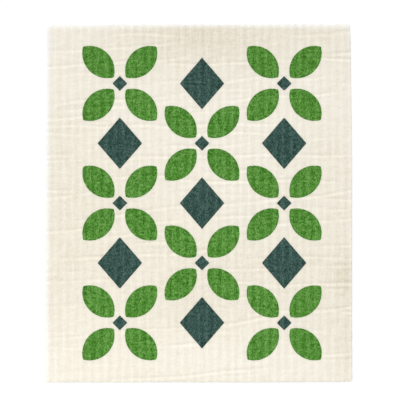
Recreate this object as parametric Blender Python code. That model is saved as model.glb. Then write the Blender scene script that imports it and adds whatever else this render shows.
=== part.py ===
"""Printed sponge cloth: one ribbed sheet of cellulose and cotton, lying face up.

Metres, +Z up. X runs across the ribs and Y along them. The origin is under the
middle of the sheet, on the flat of the underside that rests on the table.
"""

import math

import bmesh
import bpy
from mathutils import Vector
from mathutils.geometry import delaunay_2d_cdt

# The sheet as it was cut
SHEET_WIDTH = 0.1704
SHEET_LENGTH = 0.2004
SHEET_THICKNESS = 0.0018  # underside to the bottom of a groove
CORNER_RADIUS = 0.0012
CORNER_STEPS = 3
EDGE_STEPS = 10

# How far the cut runs out of square at the far end
RIGHT_SIDE_DRAW = 0.0010
LEFT_CORNER_DROP = 0.0013
RIGHT_CORNER_DROP = 0.0006

# The ribs pressed into the face
RIB_PITCH = 0.00471
RIB_HEIGHT = 0.00025
RIB_FLANK = 0.0015  # middle of a groove to the top of the rib beside it
GROOVE_SHIFT = -0.00137  # the middle groove lies this far right of the sheet's middle

# How the dry sheet lies: flat in the middle, its margins curling up a little
CURL_REACH = 0.040
SIDE_LIFT = 0.0006
END_LIFT = 0.0012
SWELL_HEIGHT = 0.00012
SWELL_SPAN_X = 0.074
SWELL_SPAN_Y = 0.092

# The print: four-petal rosettes and diamonds by turns, with a rosette in each corner
PRINT_SHIFT_X = 0.0013  # the print sits this far right of the sheet's middle
PRINT_BORDER_X = 0.0130
PRINT_BORDER_Y = 0.0100
PRINT_PITCH_X = 0.0460
PRINT_PITCH_Y = 0.0335
PETAL_START = 0.0048  # from the rosette's middle
PETAL_TIP = 0.0290
PETAL_WIDTH = 0.0140
PETAL_COUNT = 4
PETAL_STEPS = 9
HEART_REACH = 0.0042
DIAMOND_HALF_WIDTH = 0.0125
DIAMOND_HALF_LENGTH = 0.0145

# Points closer than this are one point when the face is divided up
MERGE_DISTANCE = 0.00002

# Colour and roughness of each finish, in the order of the mesh's material slots
FINISHES = (
    ("cellulose_cream", (0.875, 0.838, 0.716), 0.92),
    ("ink_green", (0.094, 0.258, 0.044), 0.88),
    ("ink_teal", (0.048, 0.093, 0.078), 0.88),
)
CREAM, GREEN, TEAL = range(len(FINISHES))

HALF_WIDTH = SHEET_WIDTH / 2
HALF_LENGTH = SHEET_LENGTH / 2


def clear_scene():
    """Remove whatever objects the file opened with."""
    for obj in list(bpy.data.objects):
        bpy.data.objects.remove(obj, do_unlink=True)


def make_material(name, colour, roughness):
    """One matt finish."""
    material = bpy.data.materials.new(name)
    material.use_nodes = True
    shader = material.node_tree.nodes["Principled BSDF"]
    shader.inputs["Base Color"].default_value = (*colour, 1.0)
    shader.inputs["Roughness"].default_value = roughness
    shader.inputs["Metallic"].default_value = 0.0
    material.diffuse_color = (*colour, 1.0)
    return material


def cut_drift(x, y):
    """Move a point of the square outline to where the blade really cut."""
    far = max(0.0, y / HALF_LENGTH)
    drop = LEFT_CORNER_DROP if x < 0 else RIGHT_CORNER_DROP
    across = x / HALF_WIDTH
    return (
        x - RIGHT_SIDE_DRAW * max(0.0, across) * far ** 3,
        y - drop * across ** 2 * far,
    )


def cut_outline():
    """The sheet's outline, anticlockwise: four sides, with an arc at each corner."""
    inner_x = HALF_WIDTH - CORNER_RADIUS
    inner_y = HALF_LENGTH - CORNER_RADIUS
    centres = ((inner_x, inner_y), (-inner_x, inner_y), (-inner_x, -inner_y), (inner_x, -inner_y))
    points = []
    for corner, (cx, cy) in enumerate(centres):
        for step in range(CORNER_STEPS + 1):
            angle = math.radians(90) * (corner + step / CORNER_STEPS)
            points.append((cx + CORNER_RADIUS * math.cos(angle), cy + CORNER_RADIUS * math.sin(angle)))
        start = points[-1]
        turn = math.radians(90) * (corner + 1)
        next_x, next_y = centres[(corner + 1) % len(centres)]
        end = (next_x + CORNER_RADIUS * math.cos(turn), next_y + CORNER_RADIUS * math.sin(turn))
        for step in range(1, EDGE_STEPS):
            share = step / EDGE_STEPS
            points.append((start[0] + (end[0] - start[0]) * share, start[1] + (end[1] - start[1]) * share))
    return [cut_drift(x, y) for x, y in points]


def petal_outline(cx, cy, turn):
    """A petal pointing away from (cx, cy) at angle turn: two equal arcs, tip to tip."""
    half_length = (PETAL_TIP - PETAL_START) / 2
    half_width = PETAL_WIDTH / 2
    radius = (half_length ** 2 + half_width ** 2) / (2 * half_width)
    spread = math.asin(half_length / radius)
    middle = (PETAL_TIP + PETAL_START) / 2
    points = []
    for side in (1, -1):
        for step in range(PETAL_STEPS):
            angle = spread * (1 - 2 * step / PETAL_STEPS)
            along = middle + side * radius * math.sin(angle)
            across = side * (radius * math.cos(angle) - radius + half_width)
            points.append((
                cx + along * math.cos(turn) - across * math.sin(turn),
                cy + along * math.sin(turn) + across * math.cos(turn),
            ))
    return points


def diamond_outline(cx, cy, half_width, half_length):
    """An upright diamond."""
    return [(cx + half_width, cy), (cx, cy + half_length), (cx - half_width, cy), (cx, cy - half_length)]


def print_fields():
    """Every printed shape, as (material slot, outline)."""
    tip = PETAL_TIP * math.cos(math.radians(45))
    columns = int((HALF_WIDTH - PRINT_BORDER_X - tip) / PRINT_PITCH_X)
    rows = int((HALF_LENGTH - PRINT_BORDER_Y - tip) / PRINT_PITCH_Y)
    fields = []
    for column in range(-columns, columns + 1):
        for row in range(-rows, rows + 1):
            cx = PRINT_SHIFT_X + column * PRINT_PITCH_X
            cy = row * PRINT_PITCH_Y
            if (column + columns + row + rows) % 2:
                fields.append((TEAL, diamond_outline(cx, cy, DIAMOND_HALF_WIDTH, DIAMOND_HALF_LENGTH)))
                continue
            fields.append((TEAL, diamond_outline(cx, cy, HEART_REACH, HEART_REACH)))
            for petal in range(PETAL_COUNT):
                turn = math.radians(45) + math.tau * petal / PETAL_COUNT
                fields.append((GREEN, petal_outline(cx, cy, turn)))
    return fields


def surface_lines():
    """Lines the face bends at: three to a rib, and a few straight across the sheet."""
    past_side = HALF_WIDTH + RIB_PITCH
    past_end = HALF_LENGTH + RIB_PITCH
    lines = []
    ribs = math.ceil(HALF_WIDTH / RIB_PITCH)
    for rib in range(-ribs, ribs + 1):
        for shift in (-RIB_FLANK, 0.0, RIB_FLANK):
            x = GROOVE_SHIFT + rib * RIB_PITCH + shift
            lines.append(((x, -past_end), (x, past_end)))
    for step in range(EDGE_STEPS):
        y = SHEET_LENGTH * ((step + 0.5) / EDGE_STEPS) - HALF_LENGTH
        lines.append(((-past_side, y), (past_side, y)))
    return lines


def margin_curl(x, y):
    """Height of the underside above the table."""
    side = max(0.0, (abs(x) - HALF_WIDTH) / CURL_REACH + 1)
    end = max(0.0, (abs(y) - HALF_LENGTH) / CURL_REACH + 1)
    return SIDE_LIFT * side ** 2 + END_LIFT * end ** 2


def face_height(x, y):
    """Height of the printed face above the table."""
    swell = SWELL_HEIGHT * math.sin(math.tau * x / SWELL_SPAN_X) * math.cos(math.tau * y / SWELL_SPAN_Y)
    from_groove = abs((x - GROOVE_SHIFT + RIB_PITCH / 2) % RIB_PITCH - RIB_PITCH / 2)
    rib = RIB_HEIGHT * min(1.0, from_groove / RIB_FLANK)
    return SHEET_THICKNESS + margin_curl(x, y) + swell + rib


def divide_face():
    """Divide the outline up along the ribs and the print.

    Gives the points, the triangles and each triangle's material slot.
    """
    fields = [(CREAM, cut_outline())] + print_fields()
    points = []
    shapes = []
    for slot, outline in fields:
        shapes.append(list(range(len(points), len(points) + len(outline))))
        points.extend(outline)
    edges = []
    for line in surface_lines():
        edges.append((len(points), len(points) + 1))
        points.extend(line)
    corners = [Vector(point) for point in points]
    found = delaunay_2d_cdt(corners, edges, shapes, 0, MERGE_DISTANCE, True)
    triangles = []
    slots = []
    for triangle, inside in zip(found[2], found[5]):
        if 0 in inside:
            triangles.append(triangle)
            slots.append(fields[max(inside)][0])
    return found[0], triangles, slots


def add_face(mesh):
    """The printed face, with its ribs."""
    points, triangles, slots = divide_face()
    corners = {}
    for triangle, slot in zip(triangles, slots):
        for index in triangle:
            if index not in corners:
                x, y = points[index]
                corners[index] = mesh.verts.new((x, y, face_height(x, y)))
        face = mesh.faces.new([corners[index] for index in triangle])
        face.material_index = slot


def add_edge_and_underside(mesh):
    """The cut edge, and an underside that is flat in the middle and curls with the margins."""
    rim = [edge for edge in mesh.edges if edge.is_boundary]
    lower = bmesh.ops.extrude_edge_only(mesh, edges=rim)["geom"]
    for face in (item for item in lower if isinstance(item, bmesh.types.BMFace)):
        face.material_index = CREAM
    below = {item for item in lower if isinstance(item, bmesh.types.BMVert)}
    for corner in below:
        corner.co.z = margin_curl(corner.co.x, corner.co.y)
    hem = [edge for edge in mesh.edges if edge.is_boundary]
    underside = bmesh.ops.edgeloop_fill(mesh, edges=hem, mat_nr=CREAM)["faces"]
    cuts = []
    for reach in (CURL_REACH, CURL_REACH / 2):
        for side in (-1, 1):
            cuts.append((Vector((side * (HALF_WIDTH - reach), 0, 0)), Vector((1, 0, 0))))
            cuts.append((Vector((0, side * (HALF_LENGTH - reach), 0)), Vector((0, 1, 0))))
    for place, normal in cuts:
        edges = {edge for face in underside for edge in face.edges}
        corners = {corner for face in underside for corner in face.verts}
        cut = bmesh.ops.bisect_plane(
            mesh, geom=[*corners, *edges, *underside], dist=MERGE_DISTANCE, plane_co=place, plane_no=normal)
        underside = [item for item in cut["geom"] if isinstance(item, bmesh.types.BMFace)]
    for corner in {corner for face in underside for corner in face.verts}:
        corner.co.z = margin_curl(corner.co.x, corner.co.y)


def build_sheet(collection):
    """The whole cloth: one closed solid with its print in the face."""
    mesh = bmesh.new()
    add_face(mesh)
    add_edge_and_underside(mesh)
    bmesh.ops.recalc_face_normals(mesh, faces=mesh.faces)
    data = bpy.data.meshes.new("sponge_cloth")
    mesh.to_mesh(data)
    mesh.free()
    for finish in FINISHES:
        data.materials.append(make_material(*finish))
    data.shade_smooth()
    data.set_sharp_from_angle(angle=math.radians(30))
    sheet = bpy.data.objects.new("sponge_cloth", data)
    collection.objects.link(sheet)
    return sheet


def main():
    """Build the cloth in a collection of its own."""
    clear_scene()
    collection = bpy.data.collections.new("Sponge cloth")
    bpy.context.scene.collection.children.link(collection)
    build_sheet(collection)


main()
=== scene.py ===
"""Looks of a printed sponge cloth: its ribbed sheet, its two inks, and the studio it is seen in.

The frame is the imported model's: metres, +Z up, X across the ribs and Y along them. Sizes and
places below are millimetres, unless their names say otherwise, and MM turns them to metres.
"""

import logging
import math
from collections.abc import Iterator
from dataclasses import dataclass, field
from enum import Enum

import bpy
import numpy as np
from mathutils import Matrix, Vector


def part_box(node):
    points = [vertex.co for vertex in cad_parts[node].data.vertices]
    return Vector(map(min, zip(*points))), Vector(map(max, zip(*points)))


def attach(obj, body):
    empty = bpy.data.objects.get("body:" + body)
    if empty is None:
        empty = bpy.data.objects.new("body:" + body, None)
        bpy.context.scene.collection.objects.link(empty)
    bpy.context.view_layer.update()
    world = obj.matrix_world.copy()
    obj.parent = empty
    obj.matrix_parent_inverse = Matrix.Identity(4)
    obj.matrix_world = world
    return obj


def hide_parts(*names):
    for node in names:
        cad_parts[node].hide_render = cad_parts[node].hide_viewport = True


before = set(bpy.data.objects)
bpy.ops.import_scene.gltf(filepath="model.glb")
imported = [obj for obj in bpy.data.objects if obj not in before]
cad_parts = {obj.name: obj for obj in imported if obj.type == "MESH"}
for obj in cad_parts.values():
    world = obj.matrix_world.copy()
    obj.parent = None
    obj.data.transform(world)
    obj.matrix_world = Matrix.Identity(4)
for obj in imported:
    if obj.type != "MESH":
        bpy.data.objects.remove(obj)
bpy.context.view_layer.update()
CLOTH_NODE = "sponge_cloth"
MM = 0.001
Array = np.ndarray
Tree = bpy.types.NodeTree
Socket = bpy.types.NodeSocket
Pair = tuple[float, float]  # across and along, or from and to
Sides = tuple[float, float, float, float]  # a value for the left, right, near and far side
MIX_UNDER, MIX_OVER, MIX_RESULT = 6, 7, 2  # sockets of a Mix node that mixes colours
LOG = logging.getLogger("cloth")


def linear(hex_colour: str) -> tuple[float, float, float, float]:
    """Turn an sRGB colour into a linear one.

    Args:
        hex_colour: the colour as it is written, such as "#f1ecdc".

    Returns:
        Its red, green, blue and alpha.
    """
    channels = (int(hex_colour[place:place + 2], 16) / 255 for place in (1, 3, 5))
    red, green, blue = (c / 12.92 if c <= 0.04045 else ((c + 0.055) / 1.055) ** 2.4 for c in channels)
    return red, green, blue, 1.0


def add_node(
    tree: Tree,
    kind: str,
    settings: dict[str | int, object] | None = None,
    links: dict[str | int, Socket] | None = None,
) -> bpy.types.Node:
    """Add one shader node with its settings and links.

    Args:
        tree: the tree that gets the node.
        kind: the node's type, without "ShaderNode" before it.
        settings: the node's properties, the fixed values of its inputs by name or number, and
            under "stops" the hex colours of a ramp with the place of each.
        links: the sockets that feed its inputs, by the input's name or number.

    Returns:
        The new node.
    """
    node = tree.nodes.new("ShaderNode" + kind)
    for key, value in (settings or {}).items():
        if key == "stops":
            for _ in range(len(value) - len(node.color_ramp.elements)):
                node.color_ramp.elements.new(1.0)
            for element, (colour, place) in zip(node.color_ramp.elements, value.items()):
                element.position = place
                element.color = linear(colour)
        elif isinstance(key, str) and hasattr(node, key):
            setattr(node, key, value)
        else:
            node.inputs[key].default_value = value
    for key, socket in (links or {}).items():
        tree.links.new(socket, node.inputs[key])
    return node


def new_material(name: str) -> tuple[bpy.types.Material, Tree, bpy.types.Node]:
    """Make an empty node material.

    Args:
        name: the real material's name.

    Returns:
        The material, its node tree and its output node.
    """
    material = bpy.data.materials.new(name)
    material.use_nodes = True
    material.node_tree.nodes.clear()
    return material, material.node_tree, add_node(material.node_tree, "OutputMaterial")


def shown_to_the_eye(tree: Tree) -> Socket:
    """Tell the rays that show a background, straight or through gloss or glass, from those that light.

    Args:
        tree: the tree that gets the nodes.

    Returns:
        The socket that gives 1 to the first and 0 to the others.
    """
    path = add_node(tree, "LightPath")
    shown = path.outputs["Is Camera Ray"]
    for ray in ("Is Glossy Ray", "Is Transmission Ray"):
        shown = add_node(tree, "Math", {"operation": "MAXIMUM"}, {0: shown, 1: path.outputs[ray]}).outputs[0]
    return shown


def spline_weights(share: Array) -> list[Array]:
    """Weights of the four lattice points round a place, as a cubic spline blends them."""
    rest = 1 - share
    return [
        rest ** 3 / 6,
        (3 * share ** 3 - 6 * share ** 2 + 4) / 6,
        (3 * rest ** 3 - 6 * rest ** 2 + 4) / 6,
        share ** 3 / 6,
    ]


def soft_noise(x: Array, y: Array, span_x: float, span_y: float, seed: int) -> Array:
    """Smooth random field, mostly between -1 and 1.

    Args:
        x: places across.
        y: places along.
        span_x: size of a swell across.
        span_y: size of a swell along.
        seed: which field is drawn.

    Returns:
        The field at each place.
    """
    strength = 1.9  # a spline flattens the lattice's own range by about this
    u = x / span_x - math.floor(float(np.min(x)) / span_x)
    v = y / span_y - math.floor(float(np.min(y)) / span_y)
    column = np.floor(u).astype(int)
    row = np.floor(v).astype(int)
    lattice = np.random.default_rng(seed).uniform(-1, 1, (int(column.max()) + 4, int(row.max()) + 4))
    across = spline_weights(u - column)
    along = spline_weights(v - row)
    total = np.zeros(np.broadcast(u, v).shape)
    for i, weight_x in enumerate(across):
        for j, weight_y in enumerate(along):
            total += weight_x * weight_y * lattice[column + i, row + j]
    return total * strength


def soft_line(x: Array, span: float, seed: int) -> Array:
    """Smooth random line across the sheet, mostly between -1 and 1."""
    return soft_noise(x, 0 * x, span, 1.0, seed)


class Motif(Enum):
    """The two shapes that the print repeats."""

    ROSETTE = "rosette"
    DIAMOND = "diamond"


@dataclass(frozen=True)
class PetalPrint:
    """Where the ink lies: four-petal rosettes and diamonds by turns, with a rosette in each corner."""

    shift_x: float = 1.3
    pitch_x: float = 46.0
    pitch_y: float = 33.5
    columns: int = 1  # either side of the middle one
    rows: int = 2
    petal_start: float = 4.8
    petal_tip: float = 29.0
    petal_width: float = 14.0
    heart_reach: float = 4.2
    diamond_half_width: float = 12.5
    diamond_half_length: float = 14.5

    def places(self) -> Iterator[tuple[Motif, float, float]]:
        """Go through the motifs, column by column.

        Yields:
            Each motif with its middle across and along.
        """
        for column in range(-self.columns, self.columns + 1):
            for row in range(-self.rows, self.rows + 1):
                odd = (column + self.columns + row + self.rows) % 2
                motif = Motif.DIAMOND if odd else Motif.ROSETTE
                yield motif, self.shift_x + column * self.pitch_x, row * self.pitch_y

    def petals(self, dx: Array, dy: Array) -> Array:
        """Distance to the edge of a rosette's nearest petal.

        Args:
            dx: places across, from the rosette's middle.
            dy: places along, from the rosette's middle.

        Returns:
            The distances, negative inside a petal.
        """
        middle = (self.petal_start + self.petal_tip) / 2
        half_length = (self.petal_tip - self.petal_start) / 2
        half_width = self.petal_width / 2
        radius = (half_length ** 2 + half_width ** 2) / (2 * half_width)
        along = (np.abs(dx) + np.abs(dy)) / math.sqrt(2) - middle
        aside = np.abs(np.abs(dx) - np.abs(dy)) / math.sqrt(2)
        return np.hypot(along, aside + radius - half_width) - radius

    def diamond(self, dx: Array, dy: Array, half_width: float, half_length: float) -> Array:
        """Distance to the edge of an upright diamond, negative inside, from its middle."""
        slant = math.hypot(half_width, half_length)
        return (np.abs(dx) * half_length + np.abs(dy) * half_width - half_width * half_length) / slant

    def edges(self, x: Array, y: Array) -> tuple[Array, Array]:
        """Distance to the edge of each ink.

        Args:
            x: places across.
            y: places along.

        Returns:
            The green ink's distances and the teal ink's, negative where there is ink.
        """
        green = np.full(x.shape, self.pitch_x)
        teal = np.full(x.shape, self.pitch_x)
        for motif, middle_x, middle_y in self.places():
            dx, dy = x - middle_x, y - middle_y
            if motif is Motif.ROSETTE:
                green = np.minimum(green, self.petals(dx, dy))
                teal = np.minimum(teal, self.diamond(dx, dy, self.heart_reach, self.heart_reach))
            else:
                size = (self.diamond_half_width, self.diamond_half_length)
                teal = np.minimum(teal, self.diamond(dx, dy, *size))
        return green, teal


@dataclass(frozen=True)
class Ribs:
    """The ribs that the casting belt presses into the face: a short left flank and a long right one."""

    pitch: float = 4.71
    groove_shift: float = -1.37  # the middle groove lies this far right of the sheet's middle
    height: float = 0.215
    crest: float = 0.34  # where a rib is highest, as a share of the way to the next groove
    wander: float = 0.12
    wander_span: Pair = (14.0, 40.0)
    fade: float = 0.25  # how much weaker or stronger a rib gets along its run
    fade_span: Pair = (9.0, 45.0)
    seed: int = 3

    def phase(self, x: Array, y: Array) -> Array:
        """How far each place is from the groove on its left to the next: 0 to 1."""
        wandered = x + self.wander * soft_noise(x, y, *self.wander_span, self.seed)
        return (wandered - self.groove_shift) / self.pitch % 1

    def rise(self, x: Array, y: Array) -> Array:
        """Height that the ribs add.

        Args:
            x: places across.
            y: places along.

        Returns:
            The height at each place.
        """
        phase = self.phase(x, y)
        share = np.where(phase < self.crest, phase / self.crest, (1 - phase) / (1 - self.crest))
        strength = 1 + self.fade * soft_noise(x, y, *self.fade_span, self.seed + 1)
        return self.height * strength * share * share * (3 - 2 * share)


@dataclass(frozen=True)
class Creases:
    """Drying creases, nearly straight across the ribs, each with a low lip on its near side.

    Between them the skin is puckered, and drawn into much finer wrinkles that run the same way.
    """

    spacing: float = 5.6
    spacing_spread: float = 0.5  # as a share of the spacing, either way
    depth: float = 0.37
    half_width: float = 0.72
    lip: float = 0.5  # height of the lip, as a share of the crease's depth
    lip_away: float = 1.7  # from the crease's middle, in half widths
    slope: float = 0.035  # they climb a little to the right
    slope_spread: float = 0.065
    wander: float = 1.4
    wander_span: float = 17.0
    usual_strength: float = 0.24  # a crease comes and goes round this share of its depth
    strength_spread: float = 1.2
    fade_span: float = 19.0
    pucker: float = 0.085
    pucker_span: Pair = (9.0, 5.0)
    wrinkle: float = 0.084
    wrinkle_span: Pair = (3.5, 1.55)
    seed: int = 21
    seed_count: int = 1 << 20  # each crease draws one of so many seeds of its own

    def rise(self, x: Array, y: Array) -> Array:
        """Height that the creases, puckers and wrinkles add.

        Args:
            x: places across.
            y: places along.

        Returns:
            The height at each place, negative in a crease.
        """
        rng = np.random.default_rng(self.seed)
        total = np.zeros(x.shape)
        margin = (self.slope + self.slope_spread) * float(np.max(x)) + 2 * self.wander
        level = float(np.min(y)) - margin
        while level < float(np.max(y)) + margin:
            seed = int(rng.integers(self.seed_count))
            slope = self.slope + self.slope_spread * rng.uniform(-1, 1)
            line = level + slope * x + self.wander * soft_line(x, self.wander_span, seed)
            strength = self.usual_strength + self.strength_spread * soft_line(x, self.fade_span, seed + 1)
            away = (y - line) / self.half_width
            lip = self.lip * np.exp(-((away + self.lip_away) ** 2))
            total += np.clip(strength, 0, 1) * (lip - np.exp(-(away ** 2)))
            level += self.spacing * rng.uniform(1 - self.spacing_spread, 1 + self.spacing_spread)
        puckered = self.pucker * soft_noise(x, y, *self.pucker_span, self.seed + 2)
        wrinkled = self.wrinkle * soft_noise(x, y, *self.wrinkle_span, self.seed + 1)
        return self.depth * total + puckered + wrinkled


@dataclass(frozen=True)
class Pores:
    """Larger open cells of the sponge that break through its skin."""

    per_square_mm: float = 0.25
    least_radius: float = 0.35
    most_radius: float = 0.85
    most_depth: float = 0.13
    least_share: float = 0.25  # depth of the shallowest, as a share of the deepest
    shallow_bias: float = 1.5  # a power: above 1, most pores are shallow
    reach: int = 2  # how many points of the grid a pore can reach
    seed: int = 5

    def depth(self, columns: int, rows: int, cell: float) -> Array:
        """How far each point of a grid sinks.

        Args:
            columns: points across.
            rows: points along.
            cell: the grid's spacing.

        Returns:
            The share of the deepest pore at each point.
        """
        rng = np.random.default_rng(self.seed)
        count = int(columns * rows * cell * cell * self.per_square_mm)
        u = rng.uniform(0, columns - 1, count)
        v = rng.uniform(0, rows - 1, count)
        radius = rng.uniform(self.least_radius, self.most_radius, count) / cell
        deep = rng.uniform(self.least_share, 1.0, count) ** self.shallow_bias
        sunk = np.zeros((columns, rows))
        for di in range(-self.reach, self.reach + 1):
            for dj in range(-self.reach, self.reach + 1):
                i = np.clip(np.rint(u).astype(int) + di, 0, columns - 1)
                j = np.clip(np.rint(v).astype(int) + dj, 0, rows - 1)
                away = ((i - u) ** 2 + (j - v) ** 2) / radius ** 2
                np.maximum.at(sunk, (i, j), deep * np.exp(-away))
        return sunk


@dataclass(frozen=True)
class DryingWarp:
    """How the dry sheet lies: flat in the middle, a little cockled, its margins curling up."""

    curl_reach: float = 40.0
    side_lift: float = 0.6
    end_lift: float = 1.2
    swell: float = 0.12
    swell_span_x: float = 74.0
    swell_span_y: float = 92.0
    cockle: float = 0.30
    cockle_span: float = 22.0
    seed: int = 8

    def lift(self, x: Array, y: Array, half_size: Pair) -> Array:
        """Height of the underside above the table.

        Args:
            x: places across.
            y: places along.
            half_size: from the sheet's middle to its sides, and to its ends.

        Returns:
            The height at each place.
        """
        half_width, half_length = half_size
        side = np.maximum(0, (np.abs(x) - half_width) / self.curl_reach + 1)
        end = np.maximum(0, (np.abs(y) - half_length) / self.curl_reach + 1)
        cockled = np.maximum(0, soft_noise(x, y, self.cockle_span, self.cockle_span, self.seed))
        return self.side_lift * side ** 2 + self.end_lift * end ** 2 + self.cockle * cockled ** 2

    def swelling(self, x: Array, y: Array) -> Array:
        """What uneven drying adds to the thickness."""
        across = np.sin(math.tau * x / self.swell_span_x)
        return self.swell * across * np.cos(math.tau * y / self.swell_span_y)


@dataclass(frozen=True)
class Patch:
    """A broad patch where the cream is darker, or lighter where the shade is below 0."""

    middle_x: float
    middle_y: float
    reach_x: float
    reach_y: float
    shade: float

    def darkening(self, x: Array, y: Array) -> Array:
        """How much darker the patch makes each place."""
        away = -((x - self.middle_x) / self.reach_x) ** 2 - ((y - self.middle_y) / self.reach_y) ** 2
        return self.shade * np.exp(away)


@dataclass(frozen=True)
class CreamDrift:
    """The face's cream, drifting slowly lighter and darker over the sheet."""

    drift_span: Pair = (60.0, 32.0)
    patches: tuple[Patch, ...] = (
        Patch(85.0, -40.0, 9.0, 11.0, 1.25),
        Patch(85.0, -86.0, 9.0, 20.0, 1.0),
        Patch(0.0, 98.0, 24.0, 14.0, 0.8),
        Patch(-8.0, -84.0, 40.0, 14.0, -0.6),
    )
    seed: int = 1884

    def drift(self, x: Array, y: Array) -> Array:
        """How the cream's tone differs from the average.

        Args:
            x: places across.
            y: places along.

        Returns:
            How much paler it is at each place, mostly between -1 and 1.
        """
        tone = soft_noise(x, y, *self.drift_span, self.seed)
        for patch in self.patches:
            tone = tone - patch.darkening(x, y)
        return tone


@dataclass(frozen=True)
class CutEdge:
    """The blade's cut: its section from the face down, and how far it runs out of square."""

    # inset from the outline and share of the thickness, from the face's rim to the last ring
    section: tuple[Pair, ...] = (
        (0.26, 1.0),
        (0.08, 0.96),
        (0.0, 0.82),
        (0.0, 0.40),
        (0.13, 0.07),
    )
    underside_inset: float = 0.60
    corner_radius: float = 1.2
    least_corner_radius: float = 0.2  # of the rings inside the outline
    # what the blade takes off the rim's thickness, the painted highlight laid near-white on the rims that
    # face the light, and how far in each reaches
    press: Sides = (0.16, 0.05, 0.18, 0.40)
    press_reach: Sides = (2.4, 2.4, 2.4, 2.4)
    pale: Sides = (0.92, 0.24, 0.0, 1.0)
    rim_highlight_reach: Sides = (4.2, 3.2, 3.2, 3.2)
    rim_fall: float = 1.5  # power by which both fade inward
    fray: float = 0.07
    fray_span: float = 1.6
    left_side_push: float = 0.95  # the left side's middle lies this far out
    left_side_lean: float = 0.75  # its near corner lies this much further out, its far one less far
    right_side_draw: float = 1.1  # the right side's far corner lies this far in
    right_side_bow: float = 0.10  # its middle lies this far out
    far_end_draw: float = 0.13  # the far end's middle falls this short
    left_corner_drop: float = 0.8  # the far left corner falls this much shorter
    right_corner_drop: float = 0.1  # the far right corner falls this much shorter
    near_corner_rise: float = 0.5  # the near right corner falls this short

    def drifted(self, x: Array, y: Array, half_size: Pair) -> tuple[Array, Array]:
        """Move places of the square cut to where the blade really went.

        Args:
            x: places across.
            y: places along.
            half_size: from the sheet's middle to its sides, and to its ends.

        Returns:
            The moved places across and along.
        """
        half_width, half_length = half_size
        far, near = np.maximum(0, y / half_length), np.maximum(0, -y / half_length)
        right, left = np.maximum(0, x / half_width), np.maximum(0, -x / half_width)
        pushed = (self.left_side_push - self.left_side_lean * y / half_length) * left
        dropped = self.far_end_draw + self.left_corner_drop * left ** 2 + self.right_corner_drop * right ** 2
        drawn = self.right_side_draw * right * far ** 2
        bowed = self.right_side_bow * right * (1 - far ** 2 - near ** 2)
        return x - pushed - drawn + bowed, y - dropped * far + self.near_corner_rise * right ** 4 * near

    def along_rim(
        self, strengths: Sides, reaches: Sides, x: Array, y: Array, half_size: Pair
    ) -> Array:
        """Spread over the sheet what acts on each side's rim: the blade's press and the painted rim
        highlight alike.

        Args:
            strengths: its strength at the left, right, near and far rim.
            reaches: how far in it reaches from each.
            x: places across.
            y: places along.
            half_size: from the sheet's middle to its sides, and to its ends.

        Returns:
            What is left of it at each place.
        """
        half_width, half_length = half_size
        # the drift is so small that taking it off once gives the square cut's own places
        moved_x, moved_y = self.drifted(x, y, half_size)
        square_x, square_y = 2 * x - moved_x, 2 * y - moved_y
        insets = (
            half_width + square_x,
            half_width - square_x,
            half_length + square_y,
            half_length - square_y,
        )
        total = np.zeros(x.shape)
        for strength, reach, inset in zip(strengths, reaches, insets):
            total += strength * np.clip(1 - inset / reach, 0, 1) ** self.rim_fall
        return total


@dataclass(frozen=True)
class Grain:
    """One random pattern of a surface, by the size of its grains in millimetres."""

    name: str
    across: float
    along: float
    detail: float = 1.0  # how many times finer grain is added
    turn_deg: float = 0.0


@dataclass(frozen=True)
class Cellulose:
    """What every surface of the sponge shares: patterns of a real size, and sums of them."""

    ramp_places: tuple[float, float, float] = (0.0, 0.5, 1.0)  # of the darkest, usual and palest shade

    def place(self, tree: Tree) -> Socket:
        """Give each point's place on the sheet, in millimetres."""
        metres = add_node(tree, "TexCoord").outputs["Object"]
        return add_node(
            tree, "VectorMath", {"operation": "SCALE", "Scale": 1 / MM}, {0: metres}
        ).outputs[0]

    def tones(self, tree: Tree, place: Socket, grains: tuple[Grain, ...]) -> dict[str, Socket]:
        """Draw random patterns.

        Args:
            tree: the material's tree.
            place: the place on the sheet.
            grains: the patterns.

        Returns:
            Each pattern's tone by its name: 0 on average, and seldom beyond a third either way.
        """
        tones = {}
        for grain in grains:
            size = (grain.across, grain.along, max(grain.across, grain.along))
            turn = (0.0, 0.0, math.radians(grain.turn_deg))
            grid = add_node(
                tree,
                "Mapping",
                {"vector_type": "TEXTURE", "Scale": size, "Rotation": turn},
                {"Vector": place},
            )
            noise = add_node(
                tree, "TexNoise", {"Scale": 1.0, "Detail": grain.detail}, {"Vector": grid.outputs[0]}
            )
            centred = add_node(tree, "Math", {"operation": "SUBTRACT", 1: 0.5}, {0: noise.outputs[0]})
            tones[grain.name] = centred.outputs[0]
        return tones

    def total(
        self, tree: Tree, tones: dict[str, Socket], weights: dict[str, float], level: float
    ) -> Socket:
        """Add tones up by their weights.

        Args:
            tree: the material's tree.
            tones: the tones by name.
            weights: how much of each tone is added.
            level: the sum where all of them are 0.

        Returns:
            The socket that gives the sum.
        """
        sum_so_far = None
        for name, weight in weights.items():
            settings = {"operation": "MULTIPLY_ADD", 1: weight, 2: level}
            links = {0: tones[name]} if sum_so_far is None else {0: tones[name], 2: sum_so_far}
            sum_so_far = add_node(tree, "Math", settings, links).outputs[0]
        return sum_so_far


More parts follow.
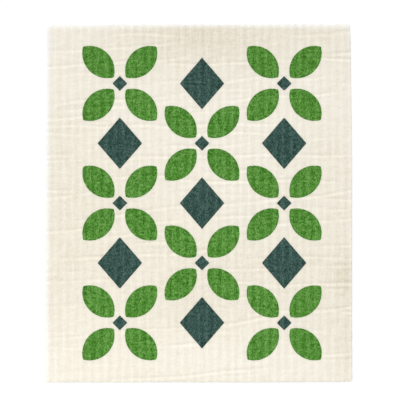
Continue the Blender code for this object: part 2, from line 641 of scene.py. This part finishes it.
@dataclass(frozen=True)
class PressedCellulose(Cellulose):
    """Face of a sponge cloth: cellulose and cotton, cast on a ribbed belt, dried and screen printed."""

    # Dried cellulose has no gloss at all. To the eye it is a dead matt cream, softly mottled and
    # streaked along the ribs, with tiny pores and cotton fibres that show from close by.
    name: str = "pressed cellulose sponge, screen printed"
    cream: tuple[str, str, str] = ("#ddd3bc", "#f4eddd", "#fffbef")  # shaded, usual, bleached
    rim_highlight_cream: str = "#fffefc"  # painted highlight: the near-white laid on the rims that face the light
    # Thin water-based ink sinks in, so its colour is broken by the pores and fades on the fibres.
    green: tuple[str, str, str] = ("#1a5404", "#437f23", "#7aaf5a")  # thick, usual, thin
    teal: tuple[str, str, str] = ("#142b26", "#294740", "#546f68")
    grains: tuple[Grain, ...] = (
        Grain("mottle", 1.1, 1.1, 2.0),
        Grain("streak", 1.1, 12.0),
        Grain("row", 4.0, 0.9),
        Grain("speck", 0.60, 0.80),
        Grain("blotch", 1.9, 1.9),
        Grain("prick", 0.75, 1.25, 0.0),
    )
    # Cotton fibres are finer still, about 0.02 mm: they are drawn ten times as coarse, to show.
    fibres: tuple[Grain, ...] = (
        Grain("rising fibres", 0.20, 2.6, 0.0, 24.0),
        Grain("level fibres", 0.20, 2.6, 0.0, 97.0),
        Grain("falling fibres", 0.20, 2.6, 0.0, 151.0),
    )
    fibre_tones: Pair = (0.10, 0.22)  # beside a fibre, and on it
    prick_tones: Pair = (0.07, 0.20)  # where a prick in the ink starts, and is open
    pore_mm: float = 0.85
    pore_reach: Pair = (0.34, 0.08)  # its rim and its floor, as shares of pore_mm
    cream_level: float = 0.59  # where the usual pulp lies between shaded and bleached
    ink_level: float = 0.645  # where the usual ink lies between thick and thin
    creep_mm: float = 0.10  # ink creeps this far into the fibres
    rim_mm: float = 0.80  # the screen leaves more ink along its edge
    rim_shade: float = 0.86
    stain_mm: float = 1.3  # a breath of dye is drawn this far out into the damp cream
    stain_cover: float = 0.10
    cream_roughness: float = 0.95
    ink_roughness: float = 0.88
    specular: float = 0.20  # most of the gloss that an IOR of 1.47 gives is lost in the pores
    bump_mm: float = 0.07

    def build(self) -> bpy.types.Material:
        """Make the material.

        Returns:
            The material.
        """
        material, tree, output = new_material(self.name)
        place = self.place(tree)
        tones = self.tones(tree, place, self.grains)
        start, open_prick = self.prick_tones
        tones["prick"] = add_node(
            tree, "MapRange", {"From Min": start, "From Max": open_prick}, {"Value": tones["prick"]}
        ).outputs[0]
        tones["fibre"] = self.fibre(tree, place)
        tones["pore"] = self.pore(tree, place)
        for fact in ("drift", "pit", "rib", "pale"):
            tones[fact] = add_node(tree, "Attribute", {"attribute_name": fact}).outputs["Fac"]

        # pit and pore darken the cream: painted shade in its hollows; the other terms are its own tone
        cream_tone_and_shade_weights = {
            "mottle": 0.45, "streak": 0.40, "row": 0.34, "drift": 0.2,
            "pit": -0.12, "pore": -0.18, "fibre": 0.09,
        }
        # pit and pore darken the ink: partly ink pooled in the hollows, partly painted shade
        ink_thinness_and_shade_weights = {
            "speck": 1.12, "blotch": 0.30, "streak": 0.34, "row": 0.42, "rib": 0.068,
            "pit": -0.18, "prick": -0.26, "pore": -0.16, "fibre": 0.12,
        }
        cream_tone_and_shade = self.total(tree, tones, cream_tone_and_shade_weights, self.cream_level)
        ink_thinness_and_shade = self.total(tree, tones, ink_thinness_and_shade_weights, self.ink_level)
        cream = add_node(
            tree, "ValToRGB", {"stops": dict(zip(self.cream, self.ramp_places))}, {"Fac": cream_tone_and_shade}
        ).outputs[0]
        # painted highlight: the rims that face the light, most the left side and far end, turn near-white
        cream = add_node(
            tree,
            "Mix",
            {"data_type": "RGBA", MIX_OVER: linear(self.rim_highlight_cream)},
            {"Factor": tones["pale"], MIX_UNDER: cream},
        ).outputs[MIX_RESULT]
        colour, cover = self.print_over(tree, cream, ink_thinness_and_shade, tones["speck"])
        roughness = add_node(
            tree,
            "MapRange",
            {"To Min": self.cream_roughness, "To Max": self.ink_roughness},
            {"Value": cover},
        ).outputs[0]
        relief = self.total(tree, tones, {"speck": 1.0, "pore": -0.9, "fibre": 0.35}, 0.0)
        bump = add_node(
            tree, "Bump", {"Distance": self.bump_mm * MM, "Strength": 1.0}, {"Height": relief}
        ).outputs[0]
        shader = add_node(
            tree,
            "BsdfPrincipled",
            {"Specular IOR Level": self.specular},
            {"Base Color": colour, "Roughness": roughness, "Normal": bump},
        )
        tree.links.new(shader.outputs[0], output.inputs["Surface"])
        return material

    def fibre(self, tree: Tree, place: Socket) -> Socket:
        """Draw the cotton fibres that lie on the skin and cross each other.

        Args:
            tree: the material's tree.
            place: the place on the sheet.

        Returns:
            The socket that gives 1 on a fibre and 0 between them.
        """
        strands = list(self.tones(tree, place, self.fibres).values())
        beside, on_fibre = self.fibre_tones
        highest = strands[0]
        for strand in strands[1:]:
            highest = add_node(tree, "Math", {"operation": "MAXIMUM"}, {0: highest, 1: strand}).outputs[0]
        return add_node(
            tree, "MapRange", {"From Min": beside, "From Max": on_fibre}, {"Value": highest}
        ).outputs[0]

    def pore(self, tree: Tree, place: Socket) -> Socket:
        """Draw the small pores.

        Args:
            tree: the material's tree.
            place: the place on the sheet.

        Returns:
            The socket that gives 1 in the middle of a pore and 0 on the skin round it.
        """
        cells = add_node(tree, "TexVoronoi", {"Scale": 1 / self.pore_mm}, {"Vector": place})
        rim, floor = self.pore_reach
        return add_node(
            tree,
            "MapRange",
            {"interpolation_type": "SMOOTHSTEP", "From Min": rim, "From Max": floor},
            {"Value": cells.outputs["Distance"]},
        ).outputs[0]

    def print_over(
        self, tree: Tree, cream: Socket, ink_thinness_and_shade: Socket, speck: Socket
    ) -> tuple[Socket, Socket]:
        """Lay the inks over the cream.

        Args:
            tree: the material's tree.
            cream: the bare sponge's colour.
            ink_thinness_and_shade: how thin the ink lies, lower where shade is painted into pits and pores,
                from 0 to 1.
            speck: the grain that the ink's edge follows.

        Returns:
            The colour, and how much of it is ink.
        """
        creep = add_node(
            tree, "Math", {"operation": "MULTIPLY", 1: 2 * self.creep_mm}, {0: speck}
        ).outputs[0]
        colour = cream
        covers = []
        for attribute, shades in (("green_edge", self.green), ("teal_edge", self.teal)):
            edge = add_node(tree, "Attribute", {"attribute_name": attribute}).outputs["Fac"]
            ink = add_node(
                tree, "ValToRGB", {"stops": dict(zip(shades, self.ramp_places))}, {"Fac": ink_thinness_and_shade}
            ).outputs[0]
            rim = add_node(
                tree,
                "MapRange",
                {"From Min": -self.rim_mm, "From Max": 0.0, "To Min": 1.0, "To Max": self.rim_shade},
                {"Value": edge},
            ).outputs[0]
            ink = add_node(tree, "VectorMath", {"operation": "SCALE"}, {0: ink, "Scale": rim}).outputs[0]
            crept = add_node(tree, "Math", {"operation": "ADD"}, {0: edge, 1: creep}).outputs[0]
            cover = add_node(
                tree,
                "MapRange",
                {"interpolation_type": "SMOOTHSTEP", "From Min": self.creep_mm, "From Max": -self.creep_mm},
                {"Value": crept},
            ).outputs[0]
            stain = add_node(
                tree,
                "MapRange",
                {"From Min": 0.0, "From Max": self.stain_mm, "To Min": self.stain_cover, "To Max": 0.0},
                {"Value": edge},
            ).outputs[0]
            colour = add_node(
                tree,
                "Mix",
                {"data_type": "RGBA", MIX_OVER: linear(shades[-1])},
                {"Factor": stain, MIX_UNDER: colour},
            ).outputs[MIX_RESULT]
            colour = add_node(
                tree, "Mix", {"data_type": "RGBA"}, {"Factor": cover, MIX_UNDER: colour, MIX_OVER: ink}
            ).outputs[MIX_RESULT]
            covers.append(cover)
        cover = add_node(tree, "Math", {"operation": "MAXIMUM"}, {0: covers[0], 1: covers[1]}).outputs[0]
        return colour, cover


@dataclass(frozen=True)
class CutCellulose(Cellulose):
    """Cut edge and unprinted back of the cloth: the same sponge with its cells open."""

    # To the eye it is as matt as the face and a little deeper in colour, because its larger
    # open cells hold shade.
    name: str = "cut cellulose sponge"
    shades: tuple[str, str, str] = ("#d5ccb4", "#ece6d4", "#f7f2e5")  # shade painted in a cell, usual, bleached
    ramp_places: tuple[float, float, float] = (0.0, 0.45, 1.0)
    level: float = 0.08
    grains: tuple[Grain, ...] = (Grain("mottle", 2.2, 2.2, 4.0),)
    cell_mm: float = 0.9
    roughness: float = 0.96
    specular: float = 0.20
    bump_mm: float = 0.12

    def build(self) -> bpy.types.Material:
        """Make the material.

        Returns:
            The material.
        """
        material, tree, output = new_material(self.name)
        place = self.place(tree)
        tones = self.tones(tree, place, self.grains)
        tones["cell"] = add_node(
            tree, "TexVoronoi", {"feature": "SMOOTH_F1", "Scale": 1 / self.cell_mm}, {"Vector": place}
        ).outputs["Distance"]
        # the cell term darkens the colour toward each cell's middle: painted shade in the open cells
        tone = self.total(tree, tones, {"mottle": 1.7, "cell": 1.0}, self.level)
        colour = add_node(
            tree, "ValToRGB", {"stops": dict(zip(self.shades, self.ramp_places))}, {"Fac": tone}
        ).outputs[0]
        bump = add_node(
            tree, "Bump", {"Distance": self.bump_mm * MM, "Strength": 1.0}, {"Height": tone}
        ).outputs[0]
        shader = add_node(
            tree,
            "BsdfPrincipled",
            {"Roughness": self.roughness, "Specular IOR Level": self.specular},
            {"Base Color": colour, "Normal": bump},
        )
        tree.links.new(shader.outputs[0], output.inputs["Surface"])
        return material


@dataclass
class GrowingMesh:
    """Points and faces gathered ring by ring, each point with its place on the unfolded sheet."""

    points: list[Array] = field(default_factory=list)
    unfolded: list[Array] = field(default_factory=list)
    faces: list[list[int]] = field(default_factory=list)
    count: int = 0

    def add(self, x: Array, y: Array, z: Array, unfolded: tuple[Array, Array]) -> Array:
        """Add points.

        Args:
            x: places across.
            y: places along.
            z: heights.
            unfolded: places across and along with the cut edge folded out.

        Returns:
            The points' numbers, in an array of the same shape.
        """
        self.points.append(np.stack([x, y, z], -1).reshape(-1, 3))
        self.unfolded.append(np.stack(unfolded, -1).reshape(-1, 2))
        numbers = self.count + np.arange(x.size).reshape(x.shape)
        self.count += x.size
        return numbers

    def join(self, *corners: Array) -> int:
        """Join points into faces.

        Args:
            *corners: the points' numbers, one array for each corner of a face.

        Returns:
            How many faces there are.
        """
        faces = np.stack(corners, -1).reshape(-1, len(corners)).tolist()
        self.faces += faces
        return len(faces)

    def join_grid(self, numbers: Array) -> int:
        """Join a grid's points into four-sided faces and count them."""
        return self.join(numbers[:-1, :-1], numbers[1:, :-1], numbers[1:, 1:], numbers[:-1, 1:])


@dataclass
class SpongeCloth:
    """The cloth: one closed mesh whose ribs, creases and pores are real, with its ink in the face."""

    cell: float = 0.675  # spacing of the face's mesh
    thickness: float = 1.8  # underside to the bottom of a groove
    grain: float = 0.012  # finest unevenness of the face
    seed: int = 17
    ribs: Ribs = Ribs()
    creases: Creases = Creases()
    warp: DryingWarp = DryingWarp()
    cut: CutEdge = CutEdge()
    ink: PetalPrint = PetalPrint()
    cream_drift: CreamDrift = CreamDrift()
    pores: Pores = Pores()

    def __post_init__(self) -> None:
        """Take the cloth's outline from the frame, and sink the pores into its grid."""
        low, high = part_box(CLOTH_NODE)
        self.half_width = (high.x - low.x) / 2 / MM
        self.half_length = (high.y - low.y) / 2 / MM
        self.half_size = (self.half_width, self.half_length)
        self.columns = 2 * round(self.half_width / self.cell)
        self.rows = 2 * round(self.half_length / self.cell)
        self.sunk = self.pores.depth(self.columns + 1, self.rows + 1, self.cell)

    def build(self, materials: list[bpy.types.Material]) -> bpy.types.Object:
        """Make the cloth.

        Args:
            materials: the face's material and that of the cut edge and the back.

        Returns:
            The cloth.
        """
        grown = GrowingMesh()
        numbers, across, along, deep = self.lay_face(grown)
        printed = grown.join_grid(numbers)
        ring, fold, rings = self.cut_down(grown, numbers, across, along, deep)
        backs = self.close_back(grown, ring, fold)
        points = np.concatenate(grown.points)
        unfolded = np.concatenate(grown.unfolded)

        mesh = bpy.data.meshes.new("cloth")
        mesh.from_pydata((points * MM).tolist(), [], grown.faces)
        for material in materials:
            mesh.materials.append(material)
        slots = np.ones(len(grown.faces), int)
        slots[:printed + rings] = 0
        mesh.polygons.foreach_set("material_index", slots)
        mesh.shade_smooth()
        for name, values in self.face_facts(points).items():
            mesh.attributes.new(name, "FLOAT", "POINT").data.foreach_set("value", values.astype(np.float32))
        self.lay_map(mesh, unfolded, points, backs)
        mesh.update()
        cloth = bpy.data.objects.new("cloth_sheet", mesh)
        bpy.context.scene.collection.objects.link(cloth)
        return cloth

    def square(self, columns: int, rows: int) -> tuple[Array, Array]:
        """Grid on a square that runs from -1 to 1 both ways."""
        column, row = np.meshgrid(np.arange(columns + 1), np.arange(rows + 1), indexing="ij")
        return 2 * column / columns - 1, 2 * row / rows - 1

    def outline(self, across: Array, along: Array, inset: Array | float) -> tuple[Array, Array]:
        """Place points of a square on the cut sheet.

        Args:
            across: -1 at the left side to 1 at the right.
            along: -1 at the near end to 1 at the far one.
            inset: how far inside the cut the square's rim lies.

        Returns:
            The places across and along the sheet.
        """
        reach_x = self.half_width - inset
        reach_y = self.half_length - inset
        radius = np.maximum(self.cut.corner_radius - inset, self.cut.least_corner_radius)
        x, y = across * reach_x, along * reach_y
        over_x = np.maximum(np.abs(x) - reach_x + radius, 0)
        over_y = np.maximum(np.abs(y) - reach_y + radius, 0)
        far = np.hypot(over_x, over_y)
        pull = 1 - np.maximum(over_x, over_y) / np.where(far > 0, far, 1)
        x = x - np.sign(x) * over_x * pull
        y = y - np.sign(y) * over_y * pull
        return self.cut.drifted(x, y, self.half_size)

    def face_height(self, x: Array, y: Array) -> Array:
        """Thickness of the sheet at the face's points, with all that rises from or sinks into it.

        Args:
            x: places across.
            y: places along.

        Returns:
            The thickness at each place.
        """
        pressed = self.cut.along_rim(self.cut.press, self.cut.press_reach, x, y, self.half_size)
        grain = self.grain * np.random.default_rng(self.seed).standard_normal(x.shape)
        return (
            self.thickness
            + self.ribs.rise(x, y)
            + self.warp.swelling(x, y)
            + self.creases.rise(x, y)
            - self.pores.most_depth * self.sunk
            + grain
            - pressed
        )

    def rim(self, columns: int, rows: int) -> tuple[Array, Array]:
        """Walk round a grid's border, anticlockwise.

        Args:
            columns: cells across.
            rows: cells along.

        Returns:
            The column and the row of each border point.
        """
        right = np.arange(columns)
        up = np.arange(rows)
        column = np.concatenate([right, np.full(rows, columns), columns - right, np.zeros(rows, int)])
        row = np.concatenate([np.zeros(columns, int), up, np.full(columns, rows), rows - up])
        return column, row

    def lay_face(self, grown: GrowingMesh) -> tuple[Array, Array, Array, Array]:
        """Add the face's points.

        Args:
            grown: the mesh so far.

        Returns:
            Their numbers, their places on the square across and along, and the thickness there.
        """
        across, along = self.square(self.columns, self.rows)
        x, y = self.outline(across, along, self.cut.section[0][0])
        deep = self.face_height(x, y)
        lift = self.warp.lift(x, y, self.half_size)
        return grown.add(x, y, lift + deep, (x, y)), across, along, deep

    def cut_down(
        self, grown: GrowingMesh, numbers: Array, across: Array, along: Array, deep: Array
    ) -> tuple[Array, float, int]:
        """Add the rings of the cut edge, from the face's rim down.

        Args:
            grown: the mesh so far.
            numbers: the face's points.
            across: their places on the square, across.
            along: their places on the square, along.
            deep: the thickness there.

        Returns:
            The lowest ring, how far in it lies when the edge is unfolded, and how many faces at
            the top still carry the face's finish.
        """
        border = self.rim(self.columns, self.rows)
        across, along, deep, ring = across[border], along[border], deep[border], numbers[border]
        (last_inset, last_share), *lower = self.cut.section
        fold = last_inset
        finished = 0
        for inset, share in lower:
            x, y = self.outline(across, along, inset)
            # the number of points so far is the seed, so each ring frays in its own way
            fray = self.cut.fray * soft_noise(x, y, self.cut.fray_span, self.cut.fray_span, grown.count)
            x, y = self.outline(across, along, inset - fray)
            z = self.warp.lift(x, y, self.half_size) + share * deep
            fold -= math.hypot(last_inset - inset, (last_share - share) * self.thickness)
            below = grown.add(x, y, z, self.outline(across, along, fold))
            joined = grown.join(ring, below, np.roll(below, -1), np.roll(ring, -1))
            finished = finished or joined
            ring, last_inset, last_share = below, inset, share
        fold -= math.hypot(last_inset - self.cut.underside_inset, last_share * self.thickness)
        return ring, fold, finished

    def close_back(self, grown: GrowingMesh, ring: Array, fold: float) -> int:
        """Add the back, half as fine as the face, and join it to the cut edge.

        Args:
            grown: the mesh so far.
            ring: the cut edge's lowest ring.
            fold: how far in the back's border lies when the edge is unfolded.

        Returns:
            How many faces the back has, which are the mesh's last.
        """
        columns, rows = self.columns // 2, self.rows // 2
        across, along = self.square(columns, rows)
        x, y = self.outline(across, along, self.cut.underside_inset)
        lift = self.warp.lift(x, y, self.half_size)
        numbers = grown.add(x, y, lift, self.outline(across, along, fold))
        hem = numbers[self.rim(columns, rows)]
        grown.join(ring[::2], hem, np.roll(hem, -1), np.roll(ring, -2)[::2], ring[1::2])
        return grown.join_grid(numbers[:, ::-1])

    def face_facts(self, points: Array) -> dict[str, Array]:
        """Values that the face's material reads at each point of the mesh.

        Args:
            points: the mesh's points, the face's grid first.

        Returns:
            Each attribute's values by its name. Edges are distances.
        """
        x, y = points[:, 0], points[:, 1]
        green, teal = self.ink.edges(x, y)
        pit = np.zeros(len(points))
        pit[:self.sunk.size] = self.sunk.ravel()
        # painted highlight: how near-white each rim is laid, most on the sides that face the light
        pale = self.cut.along_rim(self.cut.pale, self.cut.rim_highlight_reach, x, y, self.half_size)
        return {
            "green_edge": green,
            "teal_edge": teal,
            "rib": np.cos(math.tau * (self.ribs.phase(x, y) - self.ribs.crest / 2)),
            "pit": pit,
            "drift": self.cream_drift.drift(x, y),
            "pale": np.minimum(pale, 1),
        }

    def lay_map(self, mesh: bpy.types.Mesh, unfolded: Array, points: Array, backs: int) -> None:
        """Lay the mesh out flat: face and cut edge large, the plain back small beside them.

        Args:
            mesh: the cloth's mesh.
            unfolded: each point's place with the cut edge folded out.
            points: the mesh's points.
            backs: how many of the last faces are the back's.
        """
        margin, tall, back_left, back_wide = 0.01, 0.90, 0.79, 0.20
        low, high = unfolded.min(0), unfolded.max(0)
        front = margin + (unfolded - low) / (high - low)[1] * tall
        low, high = points[:, :2].min(0), points[:, :2].max(0)
        rear = (points[:, :2] - low) / (high - low)[0] * back_wide + (back_left, margin)
        corner = np.empty(len(mesh.loops), int)
        mesh.loops.foreach_get("vertex_index", corner)
        places = front[corner]
        places[-4 * backs:] = rear[corner[-4 * backs:]]
        mesh.uv_layers.new(name="OFBake").uv.foreach_set("vector", places.astype(np.float32).ravel())


@dataclass(frozen=True)
class Lamp:
    """A softbox, set by how much of the object's light it gives."""

    name: str
    azimuth_deg: float  # 0 is over the near end, 90 over the right side
    elevation_deg: float
    distance_m: float
    side_m: float
    share: float  # of the light that makes a colour render as it is written

    def build(self) -> bpy.types.Object:
        """Hang the lamp and aim it at the middle of the table.

        Returns:
            The lamp.
        """
        data = bpy.data.lights.new(self.name, "AREA")
        data.shape = "SQUARE"
        data.size = self.side_m
        azimuth, elevation = math.radians(self.azimuth_deg), math.radians(self.elevation_deg)
        data.energy = self.share * math.pi ** 2 * self.distance_m ** 2 / math.sin(elevation)
        lamp = bpy.data.objects.new(self.name, data)
        lamp.location = (
            self.distance_m * math.cos(elevation) * math.sin(azimuth),
            -self.distance_m * math.cos(elevation) * math.cos(azimuth),
            self.distance_m * math.sin(elevation),
        )
        lamp.rotation_euler = (-lamp.location).to_track_quat("-Z", "Y").to_euler()
        lamp.visible_camera = False
        bpy.context.scene.collection.objects.link(lamp)
        return lamp


@dataclass(frozen=True)
class WhiteTable:
    """Smooth white card that the cloth lies on, shown as the photograph's plain white ground."""

    # Matt card seen under a bright sky: nearly pure white, with only a breath of shadow on it.
    name: str = "white card"
    table_side_m: float = 6.0
    gap_mm: float = 0.05
    colour: str = "#f4f4f4"
    shadow_share: float = 0.09  # how much of the shown white a shadow can take away
    glow: float = 0.94

    def build(self) -> bpy.types.Object:
        """Make the table top, just under the cloth.

        Returns:
            The table top.
        """
        bpy.ops.mesh.primitive_plane_add(size=self.table_side_m, location=(0, 0, -self.gap_mm * MM))
        table = bpy.context.object
        table.name = "table_top"
        table.data.materials.append(self.material())
        return table

    def material(self) -> bpy.types.Material:
        """Make the card: plain white for bounced light, and white with a faint shadow for the eye.

        Returns:
            The material.
        """
        material, tree, output = new_material(self.name)
        card = add_node(tree, "BsdfDiffuse", {"Color": linear(self.colour)})
        shaded = add_node(tree, "BsdfDiffuse", {"Color": (*[self.shadow_share] * 3, 1.0)})
        glow = add_node(tree, "Emission", {"Strength": self.glow})
        shown = add_node(tree, "AddShader", None, {0: shaded.outputs[0], 1: glow.outputs[0]})
        mixed = add_node(
            tree, "MixShader", None, {0: shown_to_the_eye(tree), 1: card.outputs[0], 2: shown.outputs[0]}
        )
        tree.links.new(mixed.outputs[0], output.inputs["Surface"])
        return material


@dataclass(frozen=True)
class Studio:
    """Plain soft light, brighter from the far left and over the near end, and a camera straight above."""

    sky_share: float = 0.45
    key: Lamp = Lamp("large softbox", -155.0, 45.0, 6.0, 1.8, 0.43)
    fill: Lamp = Lamp("small softbox", -28.0, 42.0, 0.45, 0.25, 0.12)
    field_m: float = 0.2233  # what the photograph's frame takes in at the sheet
    lens_mm: float = 100.0
    sensor_mm: float = 36.0
    aim_m: Pair = (0.00017, 0.00175)  # the photograph's middle, from the sheet's

    def build(self) -> None:
        """Light the scene and set up the camera."""
        scene = bpy.context.scene
        scene.view_settings.view_transform = "Standard"
        scene.world = self.sky()
        self.key.build()
        self.fill.build()
        self.camera(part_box(CLOTH_NODE)[1].z)

    def sky(self) -> bpy.types.World:
        """Make an even sky that shows as white.

        Returns:
            The sky.
        """
        world = bpy.data.worlds.new("sky")
        world.use_nodes = True
        tree = world.node_tree
        tree.nodes.clear()
        lit = add_node(tree, "Background", {"Color": linear("#ffffff"), "Strength": self.sky_share})
        shown = add_node(tree, "Background", {"Color": linear("#ffffff"), "Strength": 1.0})
        mixed = add_node(
            tree, "MixShader", None, {0: shown_to_the_eye(tree), 1: lit.outputs[0], 2: shown.outputs[0]}
        )
        output = add_node(tree, "OutputWorld")
        tree.links.new(mixed.outputs[0], output.inputs["Surface"])
        return world

    def camera(self, face_height_m: float) -> None:
        """Set the camera straight above the cloth.

        Args:
            face_height_m: height of the cloth's face.
        """
        data = bpy.data.cameras.new("camera")
        data.lens = self.lens_mm
        data.sensor_width = self.sensor_mm
        camera = bpy.data.objects.new("camera", data)
        away = self.field_m * self.lens_mm / self.sensor_mm
        camera.location = (*self.aim_m, face_height_m + away)
        bpy.context.scene.collection.objects.link(camera)
        bpy.context.scene.camera = camera


def main() -> None:
    """Build the studio and the cloth, and tell the frame what the cloth is."""
    logging.basicConfig(level=logging.INFO, format="%(name)s: %(message)s")
    Studio().build()
    table = WhiteTable().build()
    LOG.info("table and light are set")

    maker = SpongeCloth()
    cloth = maker.build([PressedCellulose().build(), CutCellulose().build()])
    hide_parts(CLOTH_NODE)
    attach(cloth, "root")
    triangles = sum(len(face.vertices) - 2 for face in cloth.data.polygons)
    LOG.info("%s: %d triangles, %d columns by %d rows", cloth.name, triangles, maker.columns, maker.rows)


if __name__ == "__main__":
    main()
